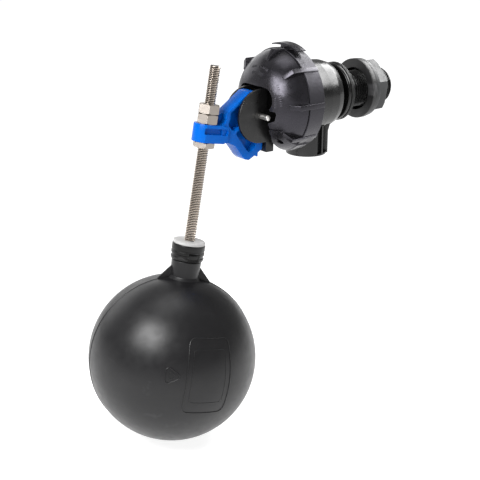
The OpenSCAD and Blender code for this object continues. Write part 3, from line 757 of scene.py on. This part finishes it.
seam_up = [(math.sin(t), 0, math.cos(t)) for t in seam_at]
seam_sec = [(-1.6, -0.4), (-0.9, 0.02), (-0.45, 0.42), (0.45, 0.42), (0.9, 0.02), (1.6, -0.4)]
seam = on_rod(tube(seam_path, seam_up, seam_sec), SEAM_AZ)
web_line = fillet([(-13, -139), (-11, -139), (-11, -160), (-24, -160), (-24, -151.5)], [0.5, 0, 0, 0, 1])
gussets = []
for s in (1, -1):
    gusset = slab([(x * s, z) for x, z in web_line], -0.9, 0.9, edge=0.35)
    gussets.append(on_rod(place(gusset, swap="y"), SEAM_AZ))


def on_ball(lon, lat):
    """The point of the ball at a longitude and latitude in degrees, and its outward normal."""
    a, e = math.radians(lon), math.radians(lat)
    up = np.array([math.cos(e) * math.cos(a), math.cos(e) * math.sin(a), math.sin(e)])
    return up * BALL_R + np.array([0, 0, -DROP]), up


def bead(points, width=0.45, height=0.56):
    """A fine raised line round a closed loop of longitudes and latitudes on the ball."""
    dense = []
    for p, q in zip(points, points[1:] + points[:1]):
        a, b = np.array(p), np.array(q)
        steps = max(1, int(np.linalg.norm(b - a) / 1.2))
        dense += [a + (b - a) * k / steps for k in range(steps)]
    path, ups = zip(*[on_ball(*p) for p in dense])
    sec = [(-width, -0.15), (-width * 0.6, height * 0.75), (0, height), (width * 0.6, height * 0.75),
           (width, -0.15)]
    return on_rod(tube(path, ups, sec, closed=True))


# plain raised marks: a double frame and a double rounded triangle
marks = [bead(fillet([(-115, 31.5), (-83, 31.5), (-83, -20), (-115, -20)], 4.5, 5)),
         bead(fillet([(-111.5, 24), (-87, 24), (-87, -12), (-111.5, -12)], 3.0, 4), 0.35, 0.3),
         bead(fillet([(-129.5, 12.5), (-117.5, 5.6), (-129, -0.8)], 2.2, 4)),
         bead(fillet([(-126.8, 8.6), (-121.6, 5.6), (-126.6, 2.8)], 1.0, 3), 0.35, 0.22)]
float_shell = piece("float_shell", [ball, seam] + gussets + marks, FLOAT, "lever", ["float_ball"],
                    sharp=30)

collar_line = fillet([(ROD_R + GAP, NECK_TOP), (13.2, NECK_TOP), (14.2, NECK_TOP + 1.2), (14.6, NECK_TOP + 3.2),
                      (13.9, NECK_TOP + 3.9), (13.9, NECK_TOP + 5.4), (14.6, NECK_TOP + 6.2),
                      (14.6, NECK_TOP + 8.4), (14.2, NECK_TOP + 8.7), (14.2, NECK_TOP + 9.6),
                      (14.6, NECK_TOP + 10),
                      (14.6, DISC_TOP - DISC_H - 0.7), (14.2, DISC_TOP - DISC_H - GAP),
                      (ROD_R + GAP, DISC_TOP - DISC_H - GAP)],
                     [0, 0.3, 0.4, 0.3, 0.3, 0.3, 0.3, 0.2, 0.1, 0.1, 0.2, 0.3, 0.2, 0])


def collar_shape(t, p):
    """A shallow flat in the collar's groove, on one side only."""
    r, z = p
    if r > 12 and NECK_TOP + 3.0 < z < NECK_TOP + 6.5:
        lean = math.cos(t - math.radians(-100))
        if lean > 0.93:
            r = min(r, 13.2)
    return r, z


collar = on_rod(lathe(collar_line, 120, True, collar_shape))
piece("float_collar_ring", [collar], COLLAR, "lever", ["float_collar"])
disc_line = fillet([(ROD_R + GAP, DISC_TOP - DISC_H), (14.0, DISC_TOP - DISC_H), (14.1, DISC_TOP - 0.5),
                    (13.6, DISC_TOP), (ROD_R + GAP, DISC_TOP)], [0, 0.2, 0.3, 0.3, 0.3])
piece("neck_disc_ring", [on_rod(lathe(disc_line, 96))], WHITE, "lever", ["neck_disc"])

# ---------------------------------------------------------------- tank wall clamp
WALL_GAP, WASHER_T, HANG = 22.7, 5.0, 0.2          # the loose washer hangs a little low on the tail
washer_bore, washer_r = TAIL_R + 2.8, 27.6
washer_line = fillet([(washer_bore, WALL_GAP), (washer_r, WALL_GAP), (washer_r, WALL_GAP + WASHER_T),
                      (washer_bore, WALL_GAP + WASHER_T)], [0.4, 0.7, 0.5, 0.3])
piece("wall_washer_ring", [place(lathe(washer_line, 128), swap="x", move=(0, 0, -HANG))], WASHER, "washer",
      ["wall_washer"])
NUT_X, NUT_FLANGE, NUT_L, NUT_AF = WALL_GAP + WASHER_T + GAP, 4.3, 15.6, 46.0
flange_line = fillet([(TAIL_R + GAP, NUT_X), (27, NUT_X), (27, NUT_X + NUT_FLANGE),
                      (TAIL_R + GAP, NUT_X + NUT_FLANGE)], [0.3, 0.6, 0.7, 0])
nut_hex = place(hexagon(NUT_AF, NUT_L, TAIL_R + GAP, 24.4, fall=0.9, both=False, n=144), swap="x", spin_x=11.5,
                move=(NUT_X, 0, 0))
piece("back_hex_nut", [place(lathe(flange_line, 128), swap="x"), nut_hex], NUT, "nut", ["back_nut"],
      sharp=28)

# ---------------------------------------------------------------- inner parts keep their CAD shape
for node, finish in {"seat_ring": BRASS, "pilot_seat": BRASS, "bleed_jet": BRASS, "diaphragm": RUBBER,
                     "main_plate": INNER, "under_plate": INNER, "plate_screw": STEEL_NUT,
                     "return_spring": STEEL_NUT, "plunger": IVORY, "plunger_pad": RUBBER}.items():
    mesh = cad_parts[node].data
    mesh.materials.clear()
    mesh.materials.append(finish)

# ---------------------------------------------------------------- camera, floor and light
cam_data = bpy.data.cameras.new("camera")
camera = bpy.data.objects.new("camera", cam_data)
bpy.context.scene.collection.objects.link(camera)
# the directions of the picture's right, its top, and back towards the viewer
right = Vector((0.8033065, -0.5955113, 0.0080628))
up = Vector((0.1844012, 0.2615726, 0.9474049))
back = Vector((-0.5662993, -0.7595697, 0.3199360))
turn = Matrix((right, up, back)).transposed().to_4x4()
camera.matrix_world = Matrix.Translation((-0.69727, -0.79028, 0.20859)) @ turn
cam_data.sensor_width, cam_data.lens = 36.0, 86.388
cam_data.clip_start, cam_data.clip_end = 0.05, 50
bpy.context.scene.camera = camera

lo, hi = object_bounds()
floor_z = min(lo.z, cad_box[0].z) - 0.0006
FLOOR_HALF = 6.0
floor_mesh = bpy.data.meshes.new("floor")
corners = [(x * FLOOR_HALF, y * FLOOR_HALF, floor_z) for x, y in ((-1, -1), (1, -1), (1, 1), (-1, 1))]
floor_mesh.from_pydata(corners, [], [(0, 1, 2, 3)])
floor = bpy.data.objects.new("floor", floor_mesh)
bpy.context.scene.collection.objects.link(floor)
pale = bpy.data.materials.new("pale_floor")
pale.use_nodes = True
paint = pale.node_tree.nodes["Principled BSDF"].inputs
paint["Base Color"].default_value = (0.45, 0.45, 0.45, 1)
paint["Roughness"].default_value = 0.9
paint["Emission Color"].default_value = (1, 1, 1, 1)
paint["Emission Strength"].default_value = 0.88      # so that the floor is white, as the background is
floor_mesh.materials.append(pale)


def softbox(name, place_at, aim, w, h, power):
    """A white area light of w by h metres at one point, turned to another."""
    data = bpy.data.lights.new(name, "AREA")
    data.shape, data.size, data.size_y, data.energy = "RECTANGLE", w, h, power
    obj = bpy.data.objects.new(name, data)
    bpy.context.scene.collection.objects.link(obj)
    obj.location = place_at
    obj.rotation_mode = "QUATERNION"
    obj.rotation_quaternion = (Vector(aim) - Vector(place_at)).to_track_quat("-Z", "Y")
    return obj


middle = (-0.09, 0.0, -0.1)      # of the object
softbox("key", (-0.63, -0.13, 0.28), (-0.14, 0, -0.06), 0.40, 0.34, 5.5)
side = softbox("side", (0.271, -0.052, 0.241), (-0.035, -0.025, 0.018), 0.46, 0.18, 2.7)
softbox("top", (-0.1, 0.25, 1.6), middle, 1.0, 0.8, 6)
softbox("rear", (0.1, 2.0, 0.6), middle, 2.6, 1.2, 12)
# the side light is kept off the float, which shows the key light's highlight only
shaded = bpy.data.collections.new("shaded_from_side")
shaded.objects.link(float_shell)
side.light_linking.receiver_collection = shaded
shaded.collection_objects[0].light_linking.link_state = "EXCLUDE"

world = bpy.data.worlds.new("studio")
bpy.context.scene.world = world
world.use_nodes = True
world.node_tree.nodes["Background"].inputs["Color"].default_value = (1, 1, 1, 1)
world.node_tree.nodes["Background"].inputs["Strength"].default_value = 0.28
bpy.context.scene.view_settings.view_transform = "Standard"
